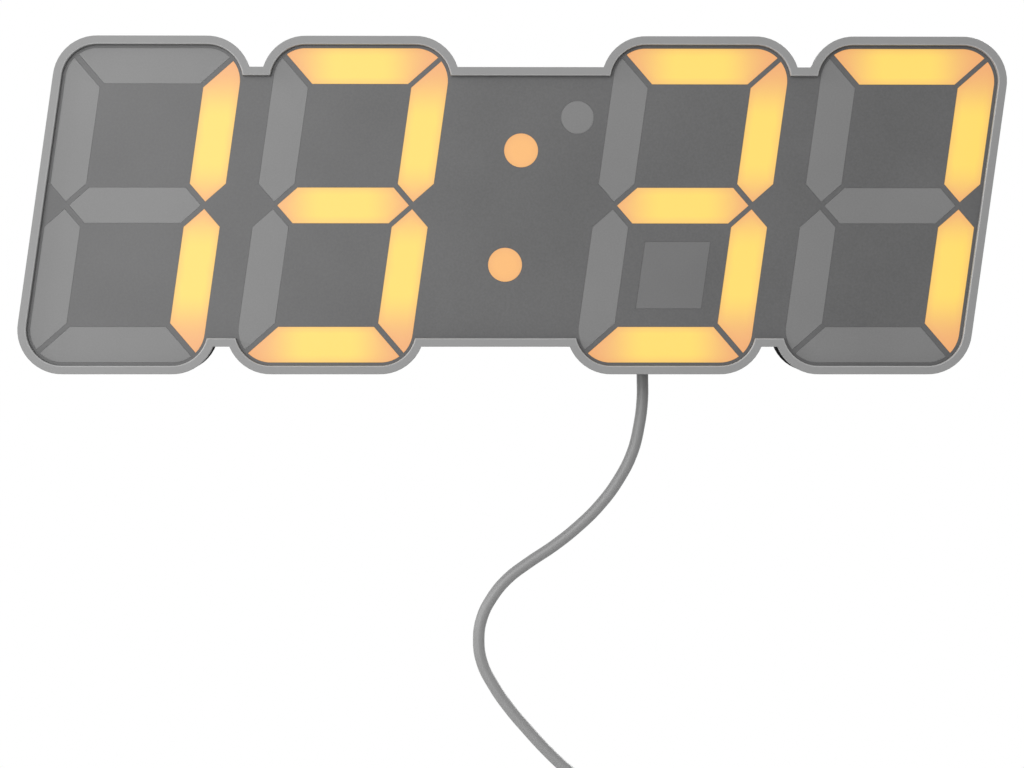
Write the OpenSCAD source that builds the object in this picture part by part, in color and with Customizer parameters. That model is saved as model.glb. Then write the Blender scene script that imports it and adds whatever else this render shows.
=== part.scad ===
// LED wall clock: a slanted four-digit face in a moulded bezel, with a rear cover that hangs on two screws.
// X runs to the right, Y runs from the face to the wall, Z runs up. The origin lies on the wall, midway
// between the two keyholes.

/* [Digit cells] */
// Level width of one digit's cell
cell_w = 58.4; // [54:0.1:60]
// Height of one digit's cell
cell_h = 99.2; // [94:0.1:110]
// Outer corner radius of a cell
corner_r = 13; // [9:0.1:16]
// Lean of the digits, in degrees
slant = 8; // [4:0.5:10]
// From one digit to the next inside a pair
digit_step = 61; // [60.5:0.1:64]
// From the second digit to the third
middle_step = 99.8; // [98:0.1:110]
// Top of the joining bar above the middle of the clock
bar_rise = 40.5; // [39:0.1:43]
// Bottom of the joining bar below the middle of the clock
bar_drop = 41.5; // [39:0.1:43]

/* [Depths] */
// Depth of the whole clock, from the rim to the wall
clock_depth = 27; // [26:0.1:34]
// Depth of the seam between the front housing and the rear cover
seam_depth = 9; // [8.2:0.1:14]
// Depth of the bezel
bezel_depth = 2; // [1.2:0.1:3]
// How far the face lies behind the rim
face_recess = 2; // [1.2:0.1:4]
// Thickness of the face panel
panel_t = 1.5; // [1:0.1:2]
// Thickness of the face frame's wall
front_wall_t = 1.5; // [1:0.1:2]
// Room between the circuit board and the back wall
board_room = 7.7; // [7:0.1:9]
// Thickness of the circuit board
board_t = 1.6; // [1:0.1:2]

/* [Walls] */
// Width of the rim seen from the front
rim_w = 2.5; // [2:0.1:3]
// How far the front housing is set in from the rim
housing_inset = 0.5; // [0.2:0.1:1]
// Width of the ledge in the front housing that the screws pull the face frame against
frame_lap = 0.6; // [0.4:0.1:0.8]
// How far the rear cover is set in from the rim
cover_inset = 1.1; // [0.9:0.1:1.4]
// Thickness of the rear cover's side wall
cover_wall_t = 1.4; // [1.1:0.1:1.8]
// Thickness of the rear cover's back wall
cover_back_t = 2; // [1.6:0.1:2.6]
// How far the circuit board is set in from the rim
board_inset = 4; // [3.6:0.1:6]

/* [Segments] */
// Width of a segment
stroke = 10.4; // [9:0.1:11.5]
// Dark margin between the rim and the segments
face_margin = 1; // [0.5:0.1:2]
// Dark gap between neighbouring segments
segment_gap = 1.6; // [1.5:0.1:2.5]
// Width of the ledge in the light box that a diffuser rests on
well_ledge = 0.6; // [0.4:0.1:1]
// Radius of a colon dot
colon_r = 4.95; // [4:0.05:6]
// Distance between the two colon dots
colon_pitch = 33.6; // [30:0.1:38]
// How far the colon lies below the middle of the clock
colon_drop = 0.6; // [0:0.1:2]
// Radius of the degree dot
degree_r = 4.8; // [4:0.05:5.5]
// Place of the degree dot to the right of the middle
degree_x = 18.9; // [17:0.1:20]
// Place of the degree dot above the middle
degree_z = 25.9; // [22:0.1:28]
// Level width of the sensor window
sensor_w = 19.2; // [14:0.1:22]
// Height of the sensor window
sensor_h = 19.6; // [14:0.1:22]

/* [Hanging] */
// Height of the keyholes above the middle of the clock
hang_height = 20; // [16:0.5:22]
// Distance between the two keyholes
keyhole_pitch = 160; // [150:1:166]
// Radius of a keyhole's mouth
key_head_r = 4.25; // [3.5:0.05:5]
// Width of a keyhole's slot
key_slot_w = 4.5; // [3.5:0.1:5]
// Length that the clock drops onto its screws
key_drop = 9; // [7:0.1:10]
// Room for a screw head behind the back wall
key_space = 4.2; // [3:0.1:5]

/* [Buttons] */
// Radius of a button cap
button_r = 3.5; // [2.5:0.1:4.5]
// Distance between neighbouring buttons
button_pitch = 12; // [11:0.1:14]
// Place of the middle button across the clock
button_x = -50; // [-54:0.5:-46]
// Place of the buttons above the middle of the clock
button_z = 2; // [-2:0.5:6]
// Travel of a button
button_travel = 0.5; // [0.2:0.05:0.8]

/* [Backup cell] */
// Radius of the coin cell
cell_r = 10; // [8:0.1:10.5]
// Thickness of the coin cell
cell_t = 3.2; // [1.6:0.1:3.4]
// Radius of the battery cover
battery_cover_r = 12.8; // [12:0.1:13.5]
// Place of the battery cover across the clock
battery_x = 50; // [46:0.5:54]
// Turn of the battery cover from locked to open, in degrees
lock_turn = 45; // [35:1:60]

/* [Vents] */
// Width of a vent slot
vent_w = 1.8; // [1:0.1:2.5]
// Height of a vent slot
vent_h = 13; // [8:0.5:13]
// Distance between neighbouring vent slots
vent_step = 6; // [5:0.1:6]
// Slots in each of the two groups
vent_count = 8; // [2:1:8]
// Place of a group's middle to either side
vent_x = 39; // [37:0.5:40]
// Place of the vents above the middle of the clock
vent_z = 28; // [26:0.5:29]

/* [Screws] */
// Radius of a cover screw's thread
screw_r = 1.45; // [1.2:0.05:1.6]
// Radius of a cover screw's head
screw_head_r = 2.8; // [2.4:0.1:3]
// Height of a cover screw's head
screw_head_h = 2.2; // [1.6:0.1:2.4]
// Length of a cover screw under its head
screw_l = 12; // [8:0.5:14]
// Radius of a face frame boss
boss_r = 3.5; // [3:0.1:4]
// Radius of a board screw's thread
board_screw_r = 1.2; // [0.8:0.05:1.4]
// Length of a board screw under its head
board_screw_l = 6; // [4:0.5:8]

/* [Cord] */
// Diameter of the power cord
cord_d = 3.5; // [3:0.1:3.6]
// Place of the cord's exit across the clock
cord_x = 39; // [34:0.5:46]
// Distance of the cord's exit from the wall
cord_off_wall = 6; // [5.5:0.1:7]
// Distance of the coil's first layer from the wall
coil_off_wall = 3.6; // [3.4:0.1:4]
// Radius of the coil's innermost turn
coil_inner_r = 11; // [10.5:0.1:12]
// From one turn of the coil to the next
coil_step = 4.6; // [4.5:0.1:5]
// From one layer of the coil to the next
layer_step = 4; // [4:0.1:4.4]

/* [Fits] */
// Gap round a piece that is glued or clamped in its seat
fit_gap = 0.05; // [0.02:0.01:0.1]
// Gap round a piece that slides or turns
running_gap = 0.25; // [0.15:0.01:0.35]
// Gap round the light box and the screws
loose_gap = 0.2; // [0.1:0.01:0.25]

/* [Hidden] */
$fn = 64;

// Colours as the photograph shows them
rim_grey = [0.6, 0.6, 0.6];
face_grey = [0.43, 0.43, 0.43];
segment_grey = [0.54, 0.54, 0.54];
glow_amber = [1, 0.84, 0.47];
shell_black = [0.1, 0.1, 0.1];
cord_grey = [0.55, 0.55, 0.55];

// Segments that are lit, digit by digit, so that the face shows a time
LIT = ["bc", "abcdg", "abcdg", "abc"];
ALL = "abcdefg";

// Places of the digits, and how a point leans with its height
outer_x = middle_step/2 + digit_step;
digit_x = [-outer_x, -middle_step/2, middle_step/2, outer_x];
function leaning(p) = [p[0] + p[1]*tan(slant), p[1]];

// Depths of the layers, counted from the rim. The light box fills what the others leave.
wall_d = face_recess + panel_t;
box_d = wall_d + front_wall_t;
back_d = clock_depth - cover_back_t;
board_back_d = back_d - board_room;
board_d = board_back_d - board_t;
light_box_t = board_d - box_d;
ledge_inset = rim_w + frame_lap;

// The segments' sides, measured along the lean from a cell's middle
face_inset = rim_w + face_margin;
outer_u = cell_w/2 - face_inset/cos(slant);
inner_u = outer_u - stroke/cos(slant);
mid_u = (outer_u + inner_u)/2;
outer_z = cell_h/2 - face_inset;
inner_z = outer_z - stroke;
counter_z = (inner_z + stroke/2)/2;

// Places of the screws: in the digits' counters and in the panel between the middle digits
panel_spot_z = 33;
panel_spot_u = 16;
function counter_spot(digit, side) = [digit_x[digit], 0] + leaning([0, side*counter_z]);
cover_spots = concat(
    [for (digit = [0, 3], side = [-1, 1]) counter_spot(digit, side)],
    [for (side = [-1, 1]) leaning([0, side*panel_spot_z])]);
board_spots = [
    counter_spot(1, -1), counter_spot(1, 1), counter_spot(2, 1), leaning([panel_spot_u, -panel_spot_z])];

// Screw seats: the rear cover's boss meets the end of the face frame's boss, and a sleeve goes on round it to
// press the circuit board and the light box against the frame
cover_boss_h = 3;
cover_boss_wall = 1.4;
head_sink = 0.4;
seat_d = clock_depth - head_sink - screw_head_h;
boss_end_d = back_d - cover_boss_h;
head_hole_r = screw_head_r + loose_gap;
cover_boss_r = head_hole_r + cover_boss_wall;

// Buttons, from the recessed cap to the switch
button_sink = 0.4;
button_spots = [for (place = [-1, 0, 1]) [button_x + place*button_pitch, button_z]];
button_flange_r = button_r + 1.2;
button_flange_h = 1;
button_stem_r = 2;
switch_w = 6;
switch_h = 3.4;
plunger_r = 1.7;
plunger_reach = 1.2;
plunger_root = 0.8;
switch_d = board_back_d + switch_h;
stem_end_d = switch_d + plunger_reach;
flange_d = back_d - loose_gap - button_flange_h;

// Backup cell, its holder and its turning cover
battery_z = 0;
holder_wall = 1.7;
holder_floor = 0.8;
lug_reach = battery_cover_r + 2.2;
lug_w = 6;
lug_h = 1.1;
battery_sink = 0.2;
coin_slot = [12, 1.8, 1];
cover_in_d = back_d - loose_gap - lug_h;

// Cord exit through the bottom of the rear cover, hidden behind the bezel's lower edge
gland_r = 4;
gland_neck_r = 2.9;
gland_inner_t = 1.05;
gland_hidden = 0.2;
exit_z = cover_inset - cell_h/2;
gland_end_z = exit_z - cover_inset + gland_hidden;
gland_seat_z = exit_z + cover_wall_t + fit_gap;
gland_top_z = gland_seat_z + gland_inner_t;
connector = [8, 6, 7];
inner_lead_l = 6;
connector_z = gland_top_z + inner_lead_l;

// The cord's route from the gland to its coil, in the middle of the cord
lead_route = [
    [cord_x, -cord_off_wall, gland_end_z], [39, -6, -57], [38, -5.8, -65], [36, -5.5, -73],
    [32, -5, -81], [26.5, -4.5, -88.5], [20, -4, -95], [12.5, -3.7, -101], [5, -3.6, -106],
    [-1.5, -3.6, -111], [-6, -3.6, -116.5], [-9, -3.6, -122.5], [-10, -3.6, -129], [-9, -3.6, -136],
    [-5.5, -3.6, -143], [-1, -3.6, -149.5], [4.5, -3.6, -156], [10.5, -3.6, -162.5], [17, -3.6, -168.5],
    [23.5, -3.6, -172.8], [30, -3.6, -175.2], [36, -coil_off_wall, -176], [39.5, -coil_off_wall, -176]
];

// The coil winds in through one layer, climbs, and winds out through the other
turns_in = 4.25;
turns_out = 4;
loop_rings = 24;
coil_outer_r = coil_inner_r + turns_in*coil_step;
coil_start = lead_route[len(lead_route) - 1];
coil_mid = coil_start + [cord_d, 0, -coil_outer_r];
climb_start = 360*turns_in;
climb_end = climb_start + 180;
coil_sweep = climb_end + 360*turns_out;
function coil_r(turn) =
    turn < climb_start ? coil_outer_r - coil_step*turn/360 :
    turn < climb_end ? coil_inner_r : coil_inner_r + coil_step*(turn - climb_end)/360;
function coil_rise(turn) = layer_step*min(1, max(0, (turn - climb_start)/180));
function coil_point(turn) = coil_mid + [coil_r(turn)*sin(turn), -coil_rise(turn), coil_r(turn)*cos(turn)];
coil_turn_step = 360/loop_rings;
coil_end = coil_point(coil_sweep);
coil_route = concat(
    [coil_start],
    [for (turn = [0:coil_turn_step:coil_sweep]) coil_point(turn)],
    [coil_end + [0, 0, cord_d]]);

// The cord's last stretch, from the coil over its front to the plug
plug_x = 41.5;
plug_off_wall = 13.6;
plug_z = -200;
plug_straight = 6;
tail_start = coil_route[len(coil_route) - 1];
tail_route = [
    tail_start, tail_start + [0, 0, cord_d], [13.7, -8.2, -195], [15.6, -9.4, -189.2], [20, -10.8, -184.4],
    [26, -12, -182], [32.5, -12.9, -183], [38.6, -13.5, -187.4],
    [plug_x, -plug_off_wall, plug_z + plug_straight], [plug_x, -plug_off_wall, plug_z]
];

// The strap round the coil, and the plug
tie_t = 1;
tie_w = 10;
tie_gap = 0.35;
tie_slack = 1.4;
grip = [14, 7.5, 20];
grip_corner_r = 2.5;
grip_neck_h = 6;
grip_neck_r = 3.1;
shell = [12, 4.5, 12];
shell_t = 0.4;
shell_root = 4;
tongue = [10.6, 1.8, 9];
tongue_lift = 0.9;

// Lengths and gaps of the cord, measured on its points
function run(route) = len(route) < 2 ? 0 : [for (i = [1:len(route) - 1]) norm(route[i] - route[i - 1])]
    * [for (i = [1:len(route) - 1]) 1];
function least_gap(route) =
    let (last = len(route) - 1)
    min([for (i = [0:last], j = [i + loop_rings/2:1:last]) norm(route[i] - route[j])]) - cord_d;
echo(cord_length = run(lead_route) + run(coil_route) + run(tail_route));
echo(coil_least_gap = least_gap(coil_route));

// A flat profile, drawn as seen from the front, made t deep from front_d behind the rim
module layer(front_d, t) {
    translate([0, front_d + t - clock_depth, 0])
        rotate([90, 0, 0])
            linear_extrude(t) children();
}

// A rod along the depth, from one depth behind the rim to another, at a spot on the face
module rod(spot, from_d, to_d, r) {
    translate([spot[0], to_d - clock_depth, spot[1]])
        rotate([90, 0, 0]) cylinder(h = to_d - from_d, r = r);
}

// A box on the circuit board's back or front, at a spot on the face
module block(spot, from_d, size) {
    translate([spot[0] - size[0]/2, from_d - clock_depth, spot[1] - size[2]/2]) cube(size);
}

// One digit's slanted cell with round corners, set in from its outer edge. The straight sides lie a hair
// inside the corner arcs, so that the two cross at clear points.
arc_lap = 0.01;
module cell(inset) {
    r = corner_r - inset;
    reach = r - arc_lap;
    core_u = cell_w/2 - corner_r/cos(slant);
    core_z = cell_h/2 - corner_r;
    corners = [for (p = [[-1, -1], [1, -1], [1, 1], [-1, 1]]) leaning([p[0]*core_u, p[1]*core_z])];
    polygon([for (i = [0:3])
        let (from = corners[i], to = corners[(i + 1) % 4], along = (to - from)/norm(to - from))
        each [from + reach*[along[1], -along[0]], to + reach*[along[1], -along[0]]]]);
    for (p = corners) translate(p) circle(r);
}

// The clock's whole outline: four cells on a bar, set in from the outer edge
module outline(inset) {
    for (x = digit_x) translate([x, 0]) cell(inset);
    polygon([
        leaning([-outer_x, inset - bar_drop]), leaning([outer_x, inset - bar_drop]),
        leaning([outer_x, bar_rise - inset]), leaning([-outer_x, bar_rise - inset])]);
}

module frame_ring(outer_inset, inner_inset) {
    difference() {
        outline(outer_inset);
        outline(inner_inset);
    }
}

// Segment outlines, grown on every side by g, that run out past the cell's edge
function mitre(g) = (segment_gap/2 - g)*sqrt(2);
function top_segment(g) =
    let (low = inner_z - g, high = outer_z + rim_w, reach = inner_u - inner_z - mitre(g))
    [[-reach - low, low], [reach + low, low], [reach + high, high], [-reach - high, high]];
function side_segment(g) =
    let (near = inner_u - g/cos(slant), far = outer_u + rim_w)
    let (top = inner_z - inner_u - mitre(g), low = mitre(g))
    [[near, top + near], [near, low + mid_u - near], [mid_u, low],
        [far, low + far - mid_u], [far, top + far]];
function middle_segment(g) =
    let (tip = mid_u - mitre(g), half = stroke/2 + g)
    [[-tip, 0], [half - tip, -half], [tip - half, -half], [tip, 0], [tip - half, half], [half - tip, half]];
function is_in(letter, letters) = len(search(letter, letters)) > 0;
function side_of(name) = is_in(name, "ef") ? -1 : 1;
function level_of(name) = is_in(name, "cde") ? -1 : 1;
function segment_points(name, g) =
    name == "g" ? middle_segment(g) : is_in(name, "ad") ? top_segment(g) : side_segment(g);

// The named segments of one digit
module digit(names, g = 0) {
    intersection() {
        for (name = names)
            polygon([for (p = segment_points(name, g)) leaning([side_of(name)*p[0], level_of(name)*p[1]])]);
        cell(face_inset - g);
    }
}

colon_spots = [for (side = [-1, 1]) leaning([0, side*colon_pitch/2]) - [0, colon_drop]];
degree_spot = [degree_x, degree_z];
sensor_spot = counter_spot(2, -1);
module colon(g = 0) { for (spot = colon_spots) translate(spot) circle(colon_r + g); }
module degree(g = 0) { translate(degree_spot) circle(degree_r + g); }
module sensor(g = 0) {
    half_u = sensor_w/2 + g/cos(slant);
    half_z = sensor_h/2 + g;
    translate(sensor_spot)
        polygon([for (p = [[-1, -1], [1, -1], [1, 1], [-1, 1]]) leaning([p[0]*half_u, p[1]*half_z])]);
}

// Every window in the face, grown on every side by g
module windows(g) {
    for (x = digit_x) translate([x, 0]) digit(ALL, g);
    colon(g);
    degree(g);
    sensor(g);
}

module spots(places, r) { for (place = places) translate(place) circle(r); }

// Light grey bezel: the rim round the face, glued to the front housing
module front_bezel() { color(rim_grey) layer(0, bezel_depth) frame_ring(0, rim_w); }

// Black housing behind the bezel, with a ledge inside it behind the face frame
module front_housing() {
    color(shell_black) difference() {
        layer(bezel_depth, seam_depth - bezel_depth) outline(housing_inset);
        layer(bezel_depth - 1, box_d - bezel_depth + 1) outline(rim_w);
        layer(box_d - 1, seam_depth) outline(ledge_inset);
    }
}

// Frame that carries the face, pulled against the housing's ledge: a wall with the windows, and the bosses
// that the cover screws bite
module face_frame() {
    color(rim_grey) difference() {
        union() {
            layer(wall_d, front_wall_t) difference() {
                outline(rim_w + fit_gap);
                windows(fit_gap);
            }
            for (spot = cover_spots) rod(spot, box_d, boss_end_d, boss_r);
        }
        for (spot = cover_spots) rod(spot, seat_d - screw_l - head_sink, clock_depth, screw_r + fit_gap);
    }
}

module face_panel() {
    color(face_grey) layer(face_recess, panel_t) difference() {
        outline(rim_w + fit_gap);
        windows(fit_gap);
    }
}

// Opal pieces that fill the windows, flush with the face, and rest on the light box
module diffuser() { layer(face_recess, panel_t + front_wall_t) children(); }
module lit_segments(i) {
    color(glow_amber) diffuser() translate([digit_x[i], 0]) digit(LIT[i]);
}
module dark_segments(i) {
    color(segment_grey) diffuser() translate([digit_x[i], 0])
        digit([for (name = ALL) if (!is_in(name, LIT[i])) name]);
}
module colon_dots() { color(glow_amber) diffuser() colon(); }
module degree_dot() { color(segment_grey) diffuser() degree(); }
module sensor_window() { color(segment_grey) diffuser() sensor(); }

// White reflector with one well behind each window
box_inset = max(ledge_inset, cover_inset + cover_wall_t) + loose_gap;
module light_box() {
    color("white") difference() {
        layer(box_d, light_box_t) difference() {
            outline(box_inset);
            windows(-well_ledge);
            spots(cover_spots, boss_r + loose_gap);
        }
        for (spot = board_spots)
            rod(spot, board_back_d - board_screw_l - loose_gap, board_back_d, board_screw_r + fit_gap);
    }
}

module led_board() {
    color("darkgreen") layer(board_d, board_t) difference() {
        outline(board_inset);
        spots(cover_spots, boss_r + loose_gap);
        spots(board_spots, board_screw_r + loose_gap);
    }
}

// Two lamps behind each segment and one behind each dot
led = [3.5, 1.9, 2.8];
led_spread = 7;
side_z = (inner_z + mitre(0))/2;
function led_places(name) =
    name == "g" ? [[-led_spread, 0], [led_spread, 0]] :
    is_in(name, "ad") ? [for (s = [-1, 1]) [s*led_spread, (outer_z + inner_z)/2]] :
    [for (s = [-1, 1]) [mid_u, side_z + s*led_spread]];
module leds() {
    color("ivory") {
        for (x = digit_x, name = ALL, p = led_places(name))
            block([x, 0] + leaning([side_of(name)*p[0], level_of(name)*p[1]]), board_d - led[1], led);
        for (spot = concat(colon_spots, [degree_spot])) block(spot, board_d - led[1], led);
    }
}

sensor_chip = [4, 1.5, 3];
module light_sensor() { color("black") block(sensor_spot, board_d - sensor_chip[1], sensor_chip); }

chip = [12, 1.8, 12];
chip_spot = [-22, 4];
module controller_chip() { color("black") block(chip_spot, board_back_d, chip); }

crystal = [8, 2.2, 3];
crystal_spot = [-22, -12];
module clock_crystal() { color("silver") block(crystal_spot, board_back_d, crystal); }

battery_spot = [battery_x, battery_z];
holder_r = cell_r + loose_gap + holder_wall;
module cell_holder() {
    top_d = board_back_d + holder_floor + cell_t;
    color("black") difference() {
        rod(battery_spot, board_back_d, top_d, holder_r);
        rod(battery_spot, board_back_d + holder_floor, top_d + 1, cell_r + loose_gap);
    }
}
module coin_cell() {
    color("silver")
        rod(battery_spot, board_back_d + holder_floor, board_back_d + holder_floor + cell_t, cell_r);
}

module tact_switches() {
    well_d = switch_d - plunger_root - button_travel - running_gap;
    color("dimgray") for (spot = button_spots) difference() {
        block(spot, board_back_d, [switch_w, switch_h, switch_w]);
        rod(spot, well_d, switch_d + 1, plunger_r + running_gap);
    }
}

// Black shell: side wall, back wall with its holes, screw bosses and keyhole pockets
key_spots = [for (side = [-1, 1]) [side*keyhole_pitch/2, hang_height]];
key_wall = 1.2;
key_head_room = key_head_r + loose_gap;
module upright_slot(r, length) {
    circle(r);
    translate([-r, 0]) square([2*r, length]);
    translate([0, length]) circle(r);
}
module keyholes() {
    for (spot = key_spots) translate(spot) {
        circle(key_head_r);
        upright_slot(key_slot_w/2, key_drop);
    }
}
module key_pockets(r) { for (spot = key_spots) translate(spot) upright_slot(r, key_drop); }
module vents() {
    for (side = [-1, 1], i = [0:vent_count - 1]) {
        x = side*vent_x + (i - (vent_count - 1)/2)*vent_step;
        polygon([for (p = [[-1, -1], [1, -1], [1, 1], [-1, 1]])
            [x, vent_z] + leaning([p[0]*vent_w/2, p[1]*vent_h/2])]);
    }
}
module battery_hole() {
    translate(battery_spot) {
        circle(battery_cover_r + running_gap);
        rotate(-lock_turn) intersection() {
            square([3*lug_reach, lug_w + 4*running_gap], center = true);
            circle(lug_reach + running_gap);
        }
    }
}
module rear_cover() {
    color(shell_black) difference() {
        union() {
            layer(seam_depth, back_d - seam_depth) frame_ring(cover_inset, cover_inset + cover_wall_t);
            layer(back_d, cover_back_t) difference() {
                outline(cover_inset);
                battery_hole();
                vents();
                spots(button_spots, button_r + running_gap);
            }
            for (spot = cover_spots) rod(spot, board_back_d, back_d, cover_boss_r);
            layer(back_d - key_space - key_wall, key_space + key_wall) key_pockets(key_head_room + key_wall);
        }
        for (spot = cover_spots) {
            rod(spot, board_back_d - 1, boss_end_d, boss_r + fit_gap);
            rod(spot, boss_end_d - 1, clock_depth + 1, screw_r + loose_gap);
            rod(spot, seat_d, clock_depth + 1, head_hole_r);
        }
        layer(back_d - key_space, key_space) key_pockets(key_head_room);
        layer(back_d - 1, cover_back_t + 2) keyholes();
        translate([cord_x, -cord_off_wall, exit_z - 1])
            cylinder(h = cover_wall_t + 2, r = gland_neck_r + fit_gap);
    }
}

// Round cover with two lugs that turn under the back wall
module battery_cover() {
    face_d = clock_depth - battery_sink;
    color(shell_black) difference() {
        union() {
            rod(battery_spot, cover_in_d, face_d, battery_cover_r);
            layer(cover_in_d, lug_h) translate(battery_spot) intersection() {
                square([3*lug_reach, lug_w], center = true);
                circle(lug_reach);
            }
        }
        translate([battery_x, face_d - clock_depth, battery_z])
            cube([coin_slot[0], 2*coin_slot[2], coin_slot[1]], center = true);
    }
}

// Pan-head screw with a crossed drive, driven from the back at a spot on the face
drive_w = 0.9;
drive_depth = 1;
module screw(spot, seat, thread_r, length, head_r, head_h) {
    difference() {
        union() {
            rod(spot, seat - length, seat, thread_r);
            rod(spot, seat, seat + head_h, head_r);
        }
        for (turn = [0, 90])
            translate([spot[0], seat + head_h - clock_depth, spot[1]]) rotate([0, turn, 0])
                cube([1.3*head_r, 2*drive_depth, drive_w], center = true);
    }
}
module cover_screws() {
    color("silver") for (spot = cover_spots)
        screw(spot, seat_d, screw_r, screw_l, screw_head_r, screw_head_h);
}
board_head_r = 2.2;
board_head_h = 1.7;
module board_screws() {
    color("silver") for (spot = board_spots)
        screw(spot, board_back_d, board_screw_r, board_screw_l, board_head_r, board_head_h);
}

// A recessed cap with a flange behind the back wall and a stem that reaches its switch
module button(i) {
    spot = button_spots[i];
    color("dimgray") {
        rod(spot, flange_d, clock_depth - button_sink, button_r);
        rod(spot, flange_d, flange_d + button_flange_h, button_flange_r);
        rod(spot, stem_end_d, flange_d, button_stem_r);
    }
}
module plunger(i) { color("black") rod(button_spots[i], switch_d - plunger_root, stem_end_d, plunger_r); }

// Flanged bush in the rear cover's lower wall, the cord inside the clock and its plug on the board
module cord_gland() {
    color("black") translate([cord_x, -cord_off_wall, 0]) {
        translate([0, 0, gland_end_z]) cylinder(h = exit_z - gland_end_z, r = gland_r);
        translate([0, 0, gland_end_z]) cylinder(h = gland_top_z - gland_end_z, r = gland_neck_r);
        translate([0, 0, gland_seat_z]) cylinder(h = gland_inner_t, r = gland_r);
    }
}
module inner_lead() {
    color(cord_grey) translate([cord_x, -cord_off_wall, gland_top_z])
        cylinder(h = connector_z - gland_top_z, d = cord_d);
}
module lead_connector() {
    color("ivory") block([cord_x, connector_z + connector[2]/2], board_back_d, connector);
}

// A closed tube swept along a route that keeps near to one upright plane
function along(route, i) =
    let (from = route[max(0, i - 1)], to = route[min(len(route) - 1, i + 1)]) (to - from)/norm(to - from);
module tube(route, sides) {
    last = len(route) - 1;
    rings = [for (i = [0:last])
        let (ahead = along(route, i), across = cross(ahead, [0, 1, 0]), side = across/norm(across),
            up = cross(side, ahead))
        each [for (k = [0:sides - 1])
            route[i] + cord_d/2*(cos(360*k/sides)*side + sin(360*k/sides)*up)]];
    walls = [for (i = [0:last - 1], k = [0:sides - 1])
        let (a = i*sides + k, b = i*sides + (k + 1) % sides)
        each [[a, a + sides, b], [b, a + sides, b + sides]]];
    ends = [for (k = [1:sides - 2]) each [[0, k, k + 1], [last*sides, last*sides + k + 1, last*sides + k]]];
    polyhedron(rings, concat(walls, ends));
}
module cord_lead() { color(cord_grey) tube(lead_route, 8); }
module cord_coil() { color(cord_grey) tube(coil_route, 6); }
module cord_tail() { color(cord_grey) tube(tail_route, 8); }

// Strap round one side of the coil
module strap_profile(grow) {
    r = cord_d/2 + tie_gap + grow;
    near = coil_inner_r - tie_slack;
    far = coil_r(90);
    for (x = [near, far], y = [0, -layer_step]) translate([x, y]) circle(r);
    translate([near, -layer_step - r]) square([far - near, layer_step + 2*r]);
    translate([near - r, -layer_step]) square([far - near + 2*r, layer_step]);
}
module cord_tie() {
    color("black") translate(coil_mid - [0, 0, tie_w/2]) linear_extrude(tie_w) difference() {
        strap_profile(tie_t);
        strap_profile(0);
    }
}

// Plug at the cord's far end: a grip moulded over a folded metal shell's root, and the tongue in it
grip_z = plug_z - grip_neck_h;
shell_z = grip_z - grip[2];
module round_bar(w, t, r) {
    for (x = [-1, 1], y = [-1, 1]) translate([x*(w/2 - r), y*(t/2 - r)]) circle(r);
    square([w, t - 2*r], center = true);
    square([w - 2*r, t], center = true);
}
module plug_grip() {
    color(cord_grey) translate([plug_x, -plug_off_wall, 0]) difference() {
        union() {
            translate([0, 0, shell_z]) linear_extrude(grip[2]) round_bar(grip[0], grip[1], grip_corner_r);
            translate([0, 0, grip_z]) cylinder(h = grip_neck_h, r1 = grip_neck_r, r2 = cord_d/2 + tie_gap);
        }
        translate([0, 0, shell_z - 1]) linear_extrude(shell_root + 1)
            square([shell[0] + 2*fit_gap, shell[1] + 2*fit_gap], center = true);
    }
}
module plug_shell() {
    color("silver") translate([plug_x, -plug_off_wall, shell_z - shell[2]])
        linear_extrude(shell[2] + shell_root) difference() {
            square([shell[0], shell[1]], center = true);
            square([shell[0] - 2*shell_t, shell[1] - 2*shell_t], center = true);
        }
}
module plug_tongue() {
    root = [shell[0] - 2*shell_t - 2*fit_gap, shell[1] - 2*shell_t - 2*fit_gap, shell_root];
    color("white") translate([plug_x, -plug_off_wall, shell_z]) {
        translate([-tongue[0]/2, -tongue_lift - tongue[1]/2, -tongue[2]]) cube(tongue);
        translate([-root[0]/2, -root[1]/2, 0]) cube(root);
    }
}

// Everything above is drawn about the middle of the clock, and hangs by its keyholes
module hung() { translate([0, 0, -hang_height]) children(); }

hung() front_bezel();
hung() front_housing();
hung() face_frame();
hung() face_panel();
hung() lit_segments(0);  // digit_1_lit
hung() dark_segments(0);  // digit_1_dark
hung() lit_segments(1);  // digit_2_lit
hung() dark_segments(1);  // digit_2_dark
hung() lit_segments(2);  // digit_3_lit
hung() dark_segments(2);  // digit_3_dark
hung() lit_segments(3);  // digit_4_lit
hung() dark_segments(3);  // digit_4_dark
hung() colon_dots();
hung() degree_dot();
hung() sensor_window();
hung() light_box();
hung() led_board();
hung() leds();
hung() light_sensor();
hung() controller_chip();
hung() clock_crystal();
hung() cell_holder();
hung() coin_cell();
hung() tact_switches();
hung() rear_cover();
hung() battery_cover();
hung() cover_screws();
hung() board_screws();
hung() button(0);  // set_button
hung() button(1);  // up_button
hung() button(2);  // down_button
hung() plunger(0);  // set_plunger
hung() plunger(1);  // up_plunger
hung() plunger(2);  // down_plunger
hung() cord_gland();
hung() inner_lead();
hung() lead_connector();
hung() cord_lead();
hung() cord_coil();
hung() cord_tail();
hung() cord_tie();
hung() plug_grip();
hung() plug_shell();
hung() plug_tongue();
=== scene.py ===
"""Looks of a slanted LED wall clock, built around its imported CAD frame. Lengths are in metres."""

import math

import bmesh
import bpy
from mathutils import Matrix, Vector
from mathutils.geometry import intersect_point_line


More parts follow.
